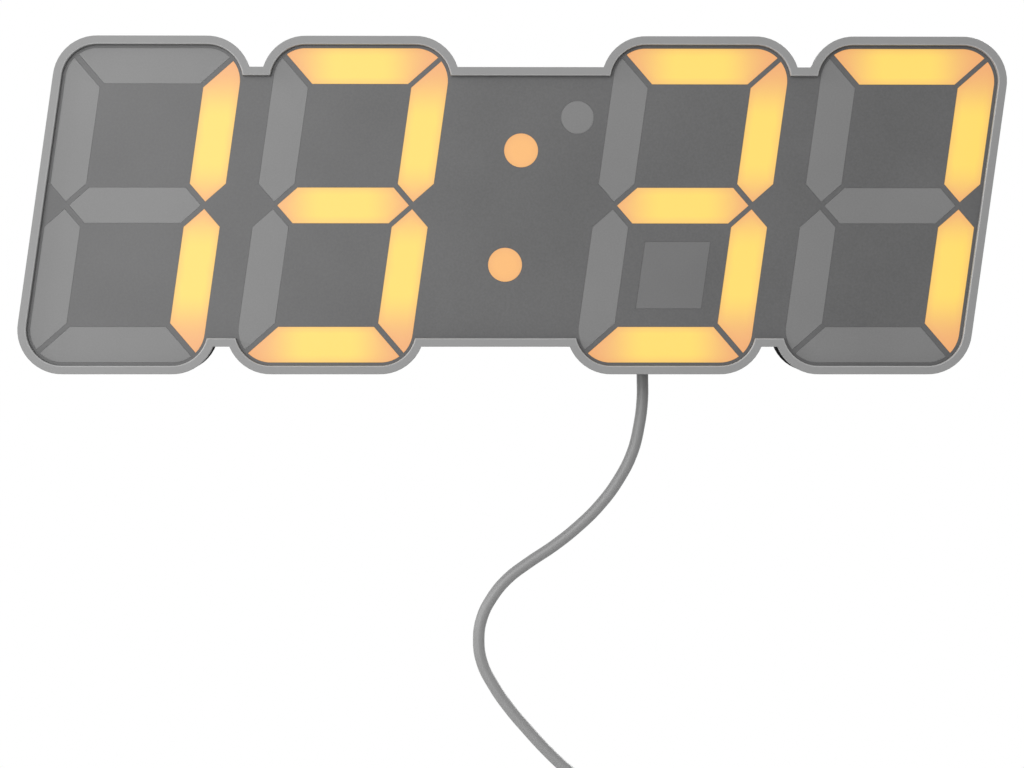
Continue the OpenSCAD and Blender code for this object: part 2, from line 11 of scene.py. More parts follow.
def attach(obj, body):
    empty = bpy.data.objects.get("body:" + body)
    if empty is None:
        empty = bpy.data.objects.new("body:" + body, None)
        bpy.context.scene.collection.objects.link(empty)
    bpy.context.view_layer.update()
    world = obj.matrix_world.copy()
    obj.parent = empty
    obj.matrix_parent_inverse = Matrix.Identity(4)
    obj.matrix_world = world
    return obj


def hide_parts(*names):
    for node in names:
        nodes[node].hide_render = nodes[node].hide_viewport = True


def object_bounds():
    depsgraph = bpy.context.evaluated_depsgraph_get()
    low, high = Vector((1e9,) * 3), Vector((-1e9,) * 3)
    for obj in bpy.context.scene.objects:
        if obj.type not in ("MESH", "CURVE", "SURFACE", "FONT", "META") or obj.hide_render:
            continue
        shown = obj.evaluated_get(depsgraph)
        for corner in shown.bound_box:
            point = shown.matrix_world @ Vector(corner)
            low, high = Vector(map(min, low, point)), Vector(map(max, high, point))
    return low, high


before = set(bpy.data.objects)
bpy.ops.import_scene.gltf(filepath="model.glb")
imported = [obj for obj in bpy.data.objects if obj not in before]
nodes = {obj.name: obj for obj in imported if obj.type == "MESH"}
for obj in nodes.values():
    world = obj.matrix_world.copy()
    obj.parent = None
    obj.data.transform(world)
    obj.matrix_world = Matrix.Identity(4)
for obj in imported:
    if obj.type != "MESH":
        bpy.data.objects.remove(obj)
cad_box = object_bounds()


# Front bezel: a light grey moulded rim round the sunk face, glued to the black housing behind it.
# Its matt grain comes from the mould. The edge round the face is chamfered, and a paler painted highlight,
# uneven along its length, lies on that chamfer.
MM = 0.001
hair, speck = 0.01 * MM, 0.001 * MM
FLAT, CORNER, CREASE = map(math.radians, (0.5, 40, 50))


class Tone:
    """A shader socket that is written like a number: tone * 2 + 1 adds its Math nodes."""

    def __init__(self, tree, socket=None):
        self.tree = tree
        self.socket = socket

    def node(self, kind, settings=None, sockets=None, output=0):
        """Any other node, from its type, its settings, and the values or links of its sockets."""
        made = self.tree.nodes.new(kind)
        for name, value in (settings or {}).items():
            setattr(made, name, value)
        for name, value in (sockets or {}).items():
            if isinstance(value, Tone):
                self.tree.links.new(value.socket, made.inputs[name])
            else:
                made.inputs[name].default_value = value
        return Tone(self.tree, made.outputs[output])

    def maths(self, operation, left, right=0.0):
        return self.node("ShaderNodeMath", {"operation": operation}, {0: left, 1: right})

    def __add__(self, other):
        return self.maths("ADD", self, other)

    def __sub__(self, other):
        return self.maths("SUBTRACT", self, other)

    def __rsub__(self, other):
        return self.maths("SUBTRACT", other, self)

    def __mul__(self, other):
        return self.maths("MULTIPLY", self, other)

    def __truediv__(self, other):
        return self.maths("DIVIDE", self, other)

    def __rtruediv__(self, other):
        return self.maths("DIVIDE", other, self)

    __radd__ = __add__
    __rmul__ = __mul__


def shading(material):
    """A material's shader, and a tone to start its expressions from."""
    return material.node_tree.nodes["Principled BSDF"], Tone(material.node_tree)


def surface(name, **constants):
    """A new material with its shader's constant sockets set, the shader, and a tone to start from."""
    material = bpy.data.materials.new(name)
    material.use_nodes = True
    shader, start = shading(material)
    for socket, value in constants.items():
        shader.inputs[socket.replace("_", " ").title().replace("Ior", "IOR")].default_value = value
    return material, shader, start


def feed(shader, socket, tone):
    tone.tree.links.new(tone.socket, shader.inputs[socket])


def noise(start, size, detail=2.0):
    """Noise on the object's own coordinates, whose grains are about one size across."""
    place = start.node("ShaderNodeTexCoord", output="Object")
    return start.node("ShaderNodeTexNoise", {}, {"Vector": place, "Scale": 1 / size, "Detail": detail})


def between(start, factor, low, high):
    """A colour between two others, each of them numbers or a tone."""
    low, high = (end if isinstance(end, Tone) else (*end, 1) for end in (low, high))
    factor_in, low_in, high_in, colour_out = 0, 6, 7, 2
    ends = {factor_in: factor, low_in: low, high_in: high}
    return start.node("ShaderNodeMix", {"data_type": "RGBA"}, ends, colour_out)


def scaled(colour, share):
    return [part * share for part in colour]


def relief(start, height, depth):
    return start.node("ShaderNodeBump", {}, {"Height": height, "Distance": depth})


def moulded(name, colour, roughness, grain, depth, spread=0.06, **constants):
    """Moulded plastic: faint clouds of colour, and the mould's fine grain in colour, gloss and relief."""
    cloud, gloss_swing = 30 * MM, 0.16
    material, shader, start = surface(name, **constants)
    fine = noise(start, grain)
    mottle = 0.5 * noise(start, cloud, detail=3) + 0.5 * fine
    feed(shader, "Base Color", between(start, mottle, scaled(colour, 1 - spread), scaled(colour, 1 + spread)))
    feed(shader, "Roughness", roughness + gloss_swing * (fine - 0.5))
    feed(shader, "Normal", relief(start, fine, depth))
    return material


def solid_of(node):
    """A mesh to work on: a CAD node's solid, with its loose triangles merged into flat faces."""
    bm = bmesh.new()
    bm.from_mesh(nodes[node].data)
    bmesh.ops.remove_doubles(bm, verts=bm.verts, dist=speck)
    bmesh.ops.dissolve_limit(bm, angle_limit=FLAT, verts=bm.verts, edges=bm.edges)
    return bm


def corner_edges(bm, depth):
    """The edges at one depth where two faces meet at a corner."""
    return [
        edge for edge in bm.edges
        if edge.calc_face_angle(0) > CORNER
        and all(abs(vert.co.y - depth) < hair for vert in edge.verts)
    ]


def round_over(bm, edges, width, segments=2):
    """Bevels edges, and gives back the new faces."""
    return bmesh.ops.bevel(
        bm, geom=edges, offset=width, offset_type="OFFSET", segments=segments, profile=0.5,
        affect="EDGES", clamp_overlap=True, material=-1)["faces"]


def groups(items, neighbours):
    """Things sorted into the groups in which they touch, by a function that gives a thing's neighbours."""
    left = set(items)
    for item in items:
        if item in left:
            left.remove(item)
            group, fresh = [], [item]
            while fresh:
                group.append(fresh.pop())
                near = [other for other in neighbours(group[-1]) if other in left]
                left.difference_update(near)
                fresh.extend(near)
            yield group


def piece(bm, name, body, material, slot, *stands_for):
    """A finished piece: smooth but for its corners, riding on its body and standing for its CAD nodes."""
    for face in bm.faces:
        face.smooth = True
    for edge in bm.edges:
        edge.smooth = edge.calc_face_angle(0) < CREASE
    mesh = bpy.data.meshes.new(name)
    bm.to_mesh(mesh)
    bm.free()
    mesh.materials.append(material)
    made = bpy.data.objects.new(name, mesh)
    bpy.context.scene.collection.objects.link(made)
    weighted = made.modifiers.new("flat faces", "WEIGHTED_NORMAL")
    weighted.keep_sharp = True
    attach(made, body)
    if stands_for:
        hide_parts(*stands_for)
    return made


rim_front, rim_chamfer, rim_round = -27 * MM, 0.35 * MM, 0.15 * MM
# The paler grey and its uneven spread below are a painted highlight along the chamfer round the face, not
# wear.
highlight_grey, highlight_size, highlight_share, highlight_swing = (0.4, 0.4, 0.4), 6 * MM, 0.8, 0.4
rim_plastic = {"colour": (0.265, 0.265, 0.265), "roughness": 0.52, "grain": 0.35 * MM, "depth": 0.012 * MM}


def highlighted(material):
    """The same plastic with its chamfer painted paler as a highlight, unevenly, by a map that marks the
    chamfer.
    """
    shader, start = shading(material)
    plain = Tone(start.tree, shader.inputs["Base Color"].links[0].from_socket)
    chart = start.node("ShaderNodeUVMap", {"uv_map": "chamfer_highlight"})
    chamfer = start.node("ShaderNodeSeparateXYZ", {}, {0: chart}, "X")
    painted_highlight = chamfer * (highlight_share + highlight_swing * (noise(start, highlight_size, detail=3) - 0.5))
    feed(shader, "Base Color", between(start, painted_highlight, plain, highlight_grey))
    return material


bezel = solid_of("front_bezel")
front_edges = corner_edges(bezel, rim_front)
rims = groups(front_edges, lambda edge: [other for vert in edge.verts for other in vert.link_edges])
inner, outer = sorted(rims, key=lambda rim: max(vert.co.x for edge in rim for vert in edge.verts))
# This map marks the chamfer that takes the painted highlight.
chart = bezel.loops.layers.uv.new("chamfer_highlight")
for face in round_over(bezel, inner, rim_chamfer, segments=3):
    for loop in face.loops:
        loop[chart].uv = (1, 0)
round_over(bezel, [edge for edge in outer if edge.is_valid], rim_round, segments=3)
bezel_highlit = highlighted(moulded("bezel_highlit", **rim_plastic))
piece(bezel, "bezel_moulding", "case", bezel_highlit, "bezel_grey", "front_bezel")


# Front housing: a black moulded ring behind the bezel, with the same spark-eroded grain as the rear cover.
# A ledge inside it takes the face frame, and its back edge meets the cover at a softened seam.
def satin_backed(material, satin):
    """Plastic that is dull at its sides, with a satin finish where it looks to the wall."""
    shader, start = shading(material)
    facing = start.node("ShaderNodeTexCoord", output="Normal")
    to_wall = start.node("ShaderNodeSeparateXYZ", {}, {0: facing}, "Y")
    feed(shader, "Coat Weight", start.maths("MAXIMUM", to_wall, 0.0) * satin)
    return material


shell_black = satin_backed(
    moulded(
        "shell_black", (0.025, 0.025, 0.026), roughness=0.7, grain=0.45 * MM, depth=0.03 * MM,
        spread=0.15, specular_ior_level=0.0, coat_roughness=0.5),
    satin=0.3)
seam, seam_round = -18 * MM, 0.2 * MM
housing = solid_of("front_housing")
round_over(housing, corner_edges(housing, seam), seam_round)
piece(housing, "housing_moulding", "case", shell_black, "shell_black", "front_housing")


# Face frame: a grey plate, moulded with a window for each segment and with six bosses behind.
# The cover screws bite these bosses and pull the plate against the housing's ledge.
def finish_node(material, *names):
    """A CAD node that shows as it is takes a finish."""
    for name in names:
        nodes[name].material_slots[0].material = material


bezel_grey = moulded("bezel_grey", **rim_plastic)
finish_node(bezel_grey, "face_frame")


# Face panel: a dark satin sheet, cut with a window for each segment and glued to the face frame.
# Its printed surface has a faint fine grain and a soft gloss.
face_grey = moulded(
    "face_grey", (0.091, 0.091, 0.092), roughness=0.41, grain=0.6 * MM, depth=0.004 * MM, spread=0.4)
finish_node(face_grey, "face_panel")


# Lit segments: opal plastic pieces pressed into the face's windows, each with two lamps behind it.
# The light is yellow over the lamps and falls off to orange towards the ends and along the edges.
# Segments go by their usual letters: a at the top, on clockwise to f, and g across the middle.
ACROSS, UP, FACING = 0, 2, 0.99
lit_base, lit_grain, lit_spread = (0.14, 0.14, 0.14), 0.5 * MM, 0.04
lit_roughness, lit_gloss_swing = 0.4, 0.1
glow_hot, glow_cool = (0.86, 0.56, 0.0), (0.72, 0.265, 0.03)
lamp_spread, lamp_reach = 7 * MM, 9 * MM
edge_band, edge_glow, front_cell = 2.0 * MM, 0.6, 1.2 * MM
hang_height, lean, lamp_lean = 20 * MM, math.tan(math.radians(8)), math.tan(math.radians(6.7))
digit_x = (-110.9 * MM, -49.9 * MM, 49.9 * MM, 110.9 * MM)
level_z, upright_x, upright_z = 40.9 * MM, 20.4 * MM, 19.2 * MM
LEVEL = {"a": 1, "g": 0, "d": -1}
UPRIGHT = {"b": (1, 1), "c": (1, -1), "e": (-1, -1), "f": (-1, 1)}
LIT = ("bc", "abcdg", "abcdg", "abc")


def shown_by_glow(name, hot, cool):
    """Opal that glows by the map of its lamps: across the map is the distance along, up it the edge."""
    material, shader, start = surface(name, emission_strength=1.0)
    chart = start.node("ShaderNodeUVMap", {"uv_map": "lamps"})
    along = start.node("ShaderNodeSeparateXYZ", {}, {0: chart}, "X")
    inside = start.node("ShaderNodeSeparateXYZ", {}, {0: chart}, "Y")
    width = lamp_reach / lamp_spread
    left = (along + 1.0) / width
    right = (along - 1.0) / width
    both = start.maths("EXPONENT", -1.0 * left * left) + start.maths("EXPONENT", -1.0 * right * right)
    heat = both / (2 * math.exp(-1 / width**2)) * (edge_glow + (1 - edge_glow) * inside)
    fine = noise(start, lit_grain)
    feed(shader, "Emission Color", between(start, heat, cool, hot))
    low, high = (scaled(lit_base, share) for share in (1 - lit_spread, 1 + lit_spread))
    feed(shader, "Base Color", between(start, fine, low, high))
    feed(shader, "Roughness", lit_roughness + lit_gloss_swing * (fine - 0.5))
    return material


def islands(bm):
    """The separate solids of a mesh, each as a list of vertices."""
    return groups(bm.verts[:], lambda vert: [edge.other_vert(vert) for edge in vert.link_edges])


def middle_of(group):
    low = Vector(map(min, zip(*(vert.co for vert in group))))
    high = Vector(map(max, zip(*(vert.co for vert in group))))
    return (low + high) / 2


def cut_across(bm, axis, places, chosen=lambda face: True):
    """Cuts the chosen faces through at places along an axis, so that the strips between can be shaped."""
    normal = Vector((0, 0, 0))
    normal[axis] = 1
    for place in places:
        faces = [face for face in bm.faces if chosen(face)]
        edges = {edge for face in faces for edge in face.edges}
        verts = {vert for face in faces for vert in face.verts}
        bmesh.ops.bisect_plane(
            bm, geom=[*verts, *edges, *faces], dist=speck, plane_co=normal * place, plane_no=normal)


def looks_forward(face):
    return face.normal.y < -FACING


def inside_rim(point, rim):
    """How far a point of the front is inside its rim, from 0 at the rim to 1 past the soft edge."""
    reach = edge_band
    for edge in rim:
        start, end = (vert.co for vert in edge.verts)
        share = intersect_point_line(point, start, end)[1]
        nearest = start.lerp(end, min(1, max(0, share)))
        reach = min(reach, (point - nearest).length)
    return reach / edge_band


def glowing(node, name, material, slot, along_of):
    """A lit piece: its front is cut into cells, and its map gives each corner's place before the lamps."""
    bm = solid_of(node)
    front_y = min(vert.co.y for vert in bm.verts)
    for axis in (ACROSS, UP):
        low = min(vert.co[axis] for vert in bm.verts)
        high = max(vert.co[axis] for vert in bm.verts)
        cells = math.ceil((high - low) / front_cell)
        cut_across(bm, axis, [low + (high - low) * i / cells for i in range(1, cells)], looks_forward)
    rims = corner_edges(bm, front_y)
    chart = bm.loops.layers.uv.new("lamps")
    for group in islands(bm):
        along = along_of(middle_of(group))
        mine = set(group)
        rim = [edge for edge in rims if edge.verts[0] in mine]
        for vert in group:
            inside = inside_rim(vert.co, rim) if abs(vert.co.y - front_y) < hair else 0.0
            for loop in vert.link_loops:
                loop[chart].uv = (along(vert.co), inside)
    return piece(bm, name, "case", material, slot, node)


def lamp_spots(x, letters):
    """The places between each lit segment's two lamps, by the segment's letter."""
    spots = {}
    for letter in letters:
        if letter in LEVEL:
            z = LEVEL[letter] * level_z
            spots[letter] = Vector((x + z * lamp_lean, 0, z - hang_height))
        else:
            side, level = UPRIGHT[letter]
            z = level * upright_z
            spots[letter] = Vector((x + side * upright_x + z * lean, 0, z - hang_height))
    return spots


def along_nearest(spots):
    """A function that finds the segment at a solid's middle, and gives how far a point is along it."""
    def along_of(middle):
        flat = Vector((middle.x, 0, middle.z))
        letter = min(spots, key=lambda name: (spots[name] - flat).length)
        axis = ACROSS if letter in LEVEL else UP
        return lambda point: (point[axis] - spots[letter][axis]) / lamp_spread

    return along_of


lit_opal = shown_by_glow("lit_opal", glow_hot, glow_cool)
for place, (x, letters) in enumerate(zip(digit_x, LIT), 1):
    along_of = along_nearest(lamp_spots(x, letters))
    glowing(f"digit_{place}_lit", f"digit_{place}_glow", lit_opal, "lit_opal", along_of)


# Colon: two round opal pegs with one lamp each, which fills them evenly with orange light.
# They are pressed into the face between the middle digits.
lit_dots = shown_by_glow("lit_dots", (0.78, 0.33, 0.015), (0.66, 0.24, 0.01))
glowing("colon_dots", "colon_glow", lit_dots, "lit_dots", lambda middle: lambda point: 0.0)


# Unlit segments, the degree dot and the sensor window: the same opal pieces with their lamps off,
# and a smoked window in the third digit's counter that lets room light through to its sensor.
dark_opal = moulded(
    "dark_opal", (0.178, 0.178, 0.178), roughness=0.39, grain=0.5 * MM, depth=0.003 * MM, spread=0.2)
finish_node(dark_opal, *[f"digit_{place}_dark" for place in (1, 2, 3, 4)], "degree_dot")
sensor_smoke = moulded(
    "sensor_smoke", (0.135, 0.135, 0.136), roughness=0.42, grain=0.5 * MM, depth=0.003 * MM, spread=0.2)
finish_node(sensor_smoke, "sensor_window")


# Light box: a white moulded reflector with one well behind each window, which keeps the lamps' light apart.
# It slides over the face frame's bosses, and the board closes it from behind.
reflector_white = moulded(
    "reflector_white", (0.82, 0.82, 0.8), roughness=0.6, grain=0.4 * MM, depth=0.008 * MM, spread=0.04)
finish_node(reflector_white, "light_box")


# Circuit board: glass-fibre laminate under green solder mask, with copper tracks that show as paler lines.
# Four screws fix it to the light box, and the rear cover's sleeves press on it.
def tracked_board():
    """Laminate with tracks in relief under the mask, and a fine weave in its colour."""
    track_step, weave_size, depth = 9 * MM, 0.8 * MM, 0.03 * MM
    mask_low, mask_high, track_green = (0.02, 0.12, 0.05), (0.03, 0.16, 0.07), (0.07, 0.3, 0.12)
    material, shader, start = surface("board_green", roughness=0.35)
    place = start.node("ShaderNodeTexCoord", output="Object")
    tracks = start.node(
        "ShaderNodeTexBrick", {"offset": 0.5, "squash": 0.6, "squash_frequency": 3},
        {"Vector": start.node("ShaderNodeMapping", {}, {"Vector": place, "Rotation": (math.pi / 2, 0, 0)}),
         "Scale": 1 / track_step, "Mortar Size": 0.035, "Mortar Smooth": 0.4}, "Fac")
    weave = noise(start, weave_size)
    mask = between(start, weave, mask_low, mask_high)
    feed(shader, "Base Color", between(start, tracks, mask, track_green))
    feed(shader, "Normal", relief(start, tracks + 0.2 * weave, depth))
    return material


finish_node(tracked_board(), "led_board")


# Lamps and the lead's socket: ivory moulded bodies soldered to the board. Two lamps to a segment and one to
# a dot are on its front, and the socket is on its back above the cord's exit.
led_ivory = moulded(
    "led_ivory", (0.8, 0.76, 0.62), roughness=0.4, grain=0.3 * MM, depth=0.004 * MM, spread=0.05)
finish_node(led_ivory, "leds", "lead_connector")


# Chips, cell holder, switches and plungers: black moulded epoxy and nylon, soldered or clipped to the
# board. A switch's plunger stands in its body under the stem of a button.
chip_black = moulded(
    "chip_black", (0.022, 0.022, 0.023), roughness=0.55, grain=0.25 * MM, depth=0.008 * MM, spread=0.12)
finish_node(
    chip_black, "light_sensor", "controller_chip", "cell_holder", "tact_switches",
    "set_plunger", "up_plunger", "down_plunger")


# Crystal can and coin cell: drawn steel, with the fine streaks of its tooling and a little tarnish.
# The can is soldered to the board and the cell lies in its holder under the battery cover.
def drawn_metal(name, colour, roughness, grain):
    """Plain metal: fine streaks of gloss, with a little tarnish in the colour."""
    streak_stretch, streak_depth, gloss_swing = (1, 8, 1), 0.004 * MM, 0.2
    tarnish_size, tarnish_shade = 4 * MM, 0.85
    material, shader, start = surface(name, metallic=1.0)
    place = start.node("ShaderNodeTexCoord", output="Object")
    stretched = start.node("ShaderNodeMapping", {}, {"Vector": place, "Scale": streak_stretch})
    streaks = start.node(
        "ShaderNodeTexNoise", {}, {"Vector": stretched, "Scale": 1 / grain, "Detail": 3.0})
    tarnish = noise(start, tarnish_size, detail=3)
    feed(shader, "Base Color", between(start, tarnish, scaled(colour, tarnish_shade), colour))
    feed(shader, "Roughness", roughness + gloss_swing * (streaks - 0.5))
    feed(shader, "Normal", relief(start, streaks, streak_depth))
    return material


tin_can = drawn_metal("tin_can", (0.7, 0.7, 0.68), roughness=0.32, grain=1.2 * MM)
finish_node(tin_can, "clock_crystal", "coin_cell")


# Rear cover: a black moulded shell with a spark-eroded grain, screwed from behind to the face frame's
# bosses. Its back edge is rounded, and the keyholes, vents and button holes have softened edges.
wall, cover_deep, back_round, hole_round = 0.0, -10 * MM, 1.2 * MM, 0.3 * MM
shell = solid_of("rear_cover")
back_edges = corner_edges(shell, wall)
outer_edges = [
    edge for edge in back_edges
    if any(min(vert.co.y for vert in face.verts) < cover_deep for face in edge.link_faces)
]
hole_edges = [edge for edge in back_edges if edge not in outer_edges]
round_over(shell, outer_edges, back_round, segments=4)
round_over(shell, [edge for edge in hole_edges if edge.is_valid], hole_round)
piece(shell, "shell_moulding", "case", shell_black, "shell_black", "rear_cover")


# Battery cover: a black moulded disc with two lugs that turn under the back wall, and a slot for a coin.
# A raised pointer near its edge shows how far it is turned.
battery_face, battery_x, battery_z = -0.2 * MM, 50 * MM, -20 * MM
door_round, pointer_sides = 0.25 * MM, 3
pointer_r, pointer_out, pointer_h, pointer_root = 1.3 * MM, 9.4 * MM, 0.12 * MM, 0.05 * MM
door = solid_of("battery_cover")
round_over(door, corner_edges(door, battery_face), door_round, segments=3)


def raised_mark(bm, x, y, z, r, height, sides, turn=0.0):
    """A flat mark that stands a little proud of a face that looks to the wall."""
    upright = Matrix.Rotation(turn, 4, "Y") @ Matrix.Rotation(math.pi / 2, 4, "X")
    place = Matrix.Translation((x, y, z)) @ upright
    flat = bmesh.ops.create_circle(bm, cap_ends=True, segments=sides, radius=r, matrix=place)
    face = flat["verts"][0].link_faces[0]
    up = bmesh.ops.extrude_face_region(bm, geom=[face])
    moved = [item for item in up["geom"] if isinstance(item, bmesh.types.BMVert)]
    bmesh.ops.translate(bm, verts=moved, vec=(0, height, 0))
    solid = {face for vert in flat["verts"] + moved for face in vert.link_faces}
    bmesh.ops.recalc_face_normals(bm, faces=list(solid))


raised_mark(
    door, battery_x, battery_face - pointer_root, battery_z + pointer_out,
    pointer_r, pointer_root + pointer_h, pointer_sides)
piece(door, "battery_door_moulding", "battery_door", shell_black, "shell_black", "battery_cover")


# Cover screws and board screws: zinc-plated steel with pan heads and crossed drives, driven into mouldings.
# The heads of the cover screws are domed over and sit under the back's surface.
screw_steel = drawn_metal("screw_steel", (0.56, 0.56, 0.57), roughness=0.34, grain=0.8 * MM)
head_face, head_r, head_dome = -0.4 * MM, 2.8 * MM, 0.7 * MM
near_rim = 0.97 * head_r
screws = solid_of("cover_screws")
head_edges = corner_edges(screws, head_face)
dome_edges = []
for group in islands(screws):
    middle = middle_of(group)
    for edge in head_edges:
        far = [Vector((vert.co.x - middle.x, vert.co.z - middle.z)).length for vert in edge.verts]
        if edge.verts[0] in group and min(far) > near_rim:
            dome_edges.append(edge)
round_over(screws, dome_edges, head_dome, segments=4)
piece(screws, "cover_screw_set", "case", screw_steel, "screw_steel", "cover_screws")
finish_node(screw_steel, "board_screws")


# Set, up and down buttons: soft grey caps with a flange behind the wall and a stem down to the switch.
# Each cap is dished for a fingertip and carries a small raised mark: a dot, an arrow up and an arrow down.
button_grey = moulded(
    "button_grey", (0.2, 0.2, 0.21), roughness=0.6, grain=0.3 * MM, depth=0.01 * MM, spread=0.08)
button_z, dish = -18 * MM, -0.62 * MM
mark_r, mark_h, mark_root = 1.5 * MM, 0.2 * MM, 0.1 * MM
cap_steps, seam_merge = 48, 0.002 * MM
CAP = (
    (0, -5.1), (1.8, -5.1), (2.0, -4.9), (2.0, -3.3), (2.1, -3.2), (4.5, -3.2), (4.7, -3.0), (4.7, -2.4),
    (4.5, -2.2), (3.5, -2.2), (3.5, -0.9), (3.42, -0.65), (3.2, -0.48), (2.9, -0.42), (2.5, -0.45),
    (1.6, -0.56), (0, -0.62))


def turned(profile, place, axis, steps):
    """A round solid spun about an axis through a place, from radius and place along it in millimetres."""
    bm = bmesh.new()
    verts = [bm.verts.new(place + Vector((r * MM, 0, 0)) + axis * along * MM) for r, along in profile]
    edges = [bm.edges.new(pair) for pair in zip(verts, verts[1:])]
    bmesh.ops.spin(
        bm, geom=verts + edges, cent=place, axis=axis, angle=2 * math.pi, steps=steps, use_merge=True)
    bmesh.ops.remove_doubles(bm, verts=bm.verts, dist=seam_merge)
    bmesh.ops.recalc_face_normals(bm, faces=bm.faces)
    return bm


for name, x, sides, turn in (("set", -62, 24, 0), ("up", -50, 3, 0), ("down", -38, 3, math.pi)):
    cap = turned(CAP, Vector((x * MM, 0, button_z)), Vector((0, 1, 0)), cap_steps)
    raised_mark(cap, x * MM, dish - mark_root, button_z, mark_r, mark_root + mark_h, sides, turn)
    piece(cap, f"{name}_cap", f"{name}_key", button_grey, "button_grey", f"{name}_button")


# Cord gland: a black rubber bush that snaps into the cover's lower wall, with a lip on either side of it.
# The cord is moulded into it, so a pull on the cord doesn't reach the board.
gland_rubber = moulded(
    "gland_rubber", (0.028, 0.028, 0.028), roughness=0.7, grain=0.3 * MM, depth=0.01 * MM, spread=0.12)
cord_x, cord_y, bush_steps = 39 * MM, -6 * MM, 40
BUSH = (
    (0, -69.4), (2.7, -69.4), (3.6, -69.3), (3.95, -69.05), (4.0, -68.8), (3.9, -68.55), (2.9, -68.5),
    (2.9, -67.05), (3.9, -67.05), (4.0, -66.9), (4.0, -66.3), (3.7, -66.0), (0, -66.0))
bush = turned(BUSH, Vector((cord_x, cord_y, 0)), Vector((0, 0, 1)), bush_steps)
piece(bush, "gland_bush", "case", gland_rubber, "gland_rubber", "cord_gland")


# Power cord: a thin grey flexible lead. It leaves the gland and hangs down with a slow bend. Its spare
# length is wound into a coil of two layers that hangs below, with the last stretch laid over its front
# to the plug.
cord_d = 3.5 * MM
LEAD = (
    (39, -6, -49.4), (39, -6, -57), (38, -5.8, -65), (36, -5.5, -73), (32, -5, -81), (26.5, -4.5, -88.5),
    (20, -4, -95), (12.5, -3.7, -101), (5, -3.6, -106), (-1.5, -3.6, -111), (-6, -3.6, -116.5),
    (-9, -3.6, -122.5), (-10, -3.6, -129), (-9, -3.6, -136), (-5.5, -3.6, -143), (-1, -3.6, -149.5),
    (4.5, -3.6, -156), (10.5, -3.6, -162.5), (17, -3.6, -168.5), (23.5, -3.6, -172.8), (30, -3.6, -175.2),
    (36, -3.6, -176), (39.5, -3.6, -176))
TAIL = (
    (13.7, -8.2, -195), (15.6, -9.4, -189.2), (20, -10.8, -184.4), (26, -12, -182), (32.5, -12.9, -183),
    (38.6, -13.5, -187.4), (41.5, -13.6, -194), (41.5, -13.6, -200))
coil_inner_r, coil_step, layer_step, run_in, run_out = 11, 4.6, 4, 3.5, 3.5
turns_in, turns_out, loop_points = 4.25, 4, 24
coil_outer_r = coil_inner_r + turns_in * coil_step
coil_mid = Vector(LEAD[-1]) + Vector((run_in, 0, -coil_outer_r))
climb_start = 360 * turns_in
climb_end = climb_start + 180
coil_sweep = climb_end + 360 * turns_out


def coil_point(turn):
    """A point of the coil: in through one layer, up in a half turn, and out through the other."""
    if turn < climb_start:
        r = coil_outer_r - coil_step * turn / 360
    else:
        r = coil_inner_r + coil_step * max(0, turn - climb_end) / 360
    rise = layer_step * min(1, max(0, (turn - climb_start) / 180))
    angle = math.radians(turn)
    return coil_mid + Vector((r * math.sin(angle), -rise, r * math.cos(angle)))


coil_count = round(coil_sweep / 360 * loop_points)
coil = [coil_point(coil_sweep * i / coil_count) for i in range(coil_count + 1)]
out = [coil[-1] + Vector((0, 0, run_out * i)) for i in (1, 2)]
clock_mid = Vector((0, 0, -hang_height))
route = [Vector(point) * MM + clock_mid for point in [*LEAD, *coil, *out, *TAIL]]


def jacketed(name, colour, roughness):
    """Extruded jacket: a soft sheen, faint scuffs and a very fine grain."""
    scuff_size, grain, depth, gloss_swing = 3 * MM, 0.4 * MM, 0.002 * MM, 0.2
    low, high = scaled(colour, 0.9), scaled(colour, 1.08)
    material, shader, start = surface(name)
    scuffs = noise(start, scuff_size, detail=4)
    fine = noise(start, grain)
    mottle = 0.7 * scuffs + 0.3 * fine
    feed(shader, "Base Color", between(start, mottle, low, high))
    feed(shader, "Roughness", roughness + gloss_swing * (scuffs - 0.5))
    feed(shader, "Normal", relief(start, fine, depth))
    return material


cord_grey = jacketed("cord_grey", (0.257, 0.257, 0.257), roughness=0.45)
finish_node(cord_grey, "inner_lead")
cord_line = bpy.data.curves.new("power_cord", "CURVE")
cord_line.dimensions = "3D"
cord_line.bevel_depth = cord_d / 2
cord_line.bevel_resolution = 4
cord_line.resolution_u = 4
cord_line.use_fill_caps = True
spline = cord_line.splines.new("BEZIER")
spline.bezier_points.add(len(route) - 1)
for bend, point in zip(spline.bezier_points, route):
    bend.co = point
    bend.handle_left_type = "AUTO"
    bend.handle_right_type = "AUTO"
cord_line.materials.append(cord_grey)
cord = bpy.data.objects.new("power_cord", cord_line)
bpy.context.scene.collection.objects.link(cord)
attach(cord, "case")
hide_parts("cord_lead", "cord_coil", "cord_tail")


# Cord tie: a black woven hook-and-loop strap, wrapped once round one side of the coil and lapped over
# itself. Its cut edges are a little rounded, and the free end is cut to a half round.
def woven(name, colour, roughness, pitch):
    """Woven band: crossing threads in relief, paler where they come to the top, with a little fluff."""
    fluff_size, depth, gloss_swing = 0.25 * MM, 0.15 * MM, 0.2
    low, high = scaled(colour, 0.5), scaled(colour, 1.4)
    material, shader, start = surface(name, specular_ior_level=0.25)
    place = start.node("ShaderNodeTexCoord", output="Object")
    waves = {"Vector": place, "Scale": 0.1 * math.pi / pitch, "Distortion": 0.4}
    weft = start.node("ShaderNodeTexWave", {"bands_direction": "Z"}, waves, "Fac")
    warp = start.node("ShaderNodeTexWave", {"bands_direction": "DIAGONAL"}, waves, "Fac")
    threads = 0.5 * weft + 0.5 * warp
    fluff = noise(start, fluff_size)
    raised = 0.7 * threads + 0.3 * fluff
    feed(shader, "Base Color", between(start, raised, low, high))
    feed(shader, "Roughness", roughness + gloss_swing * (fluff - 0.5))
    feed(shader, "Normal", relief(start, threads + 0.4 * fluff, depth))
    return material


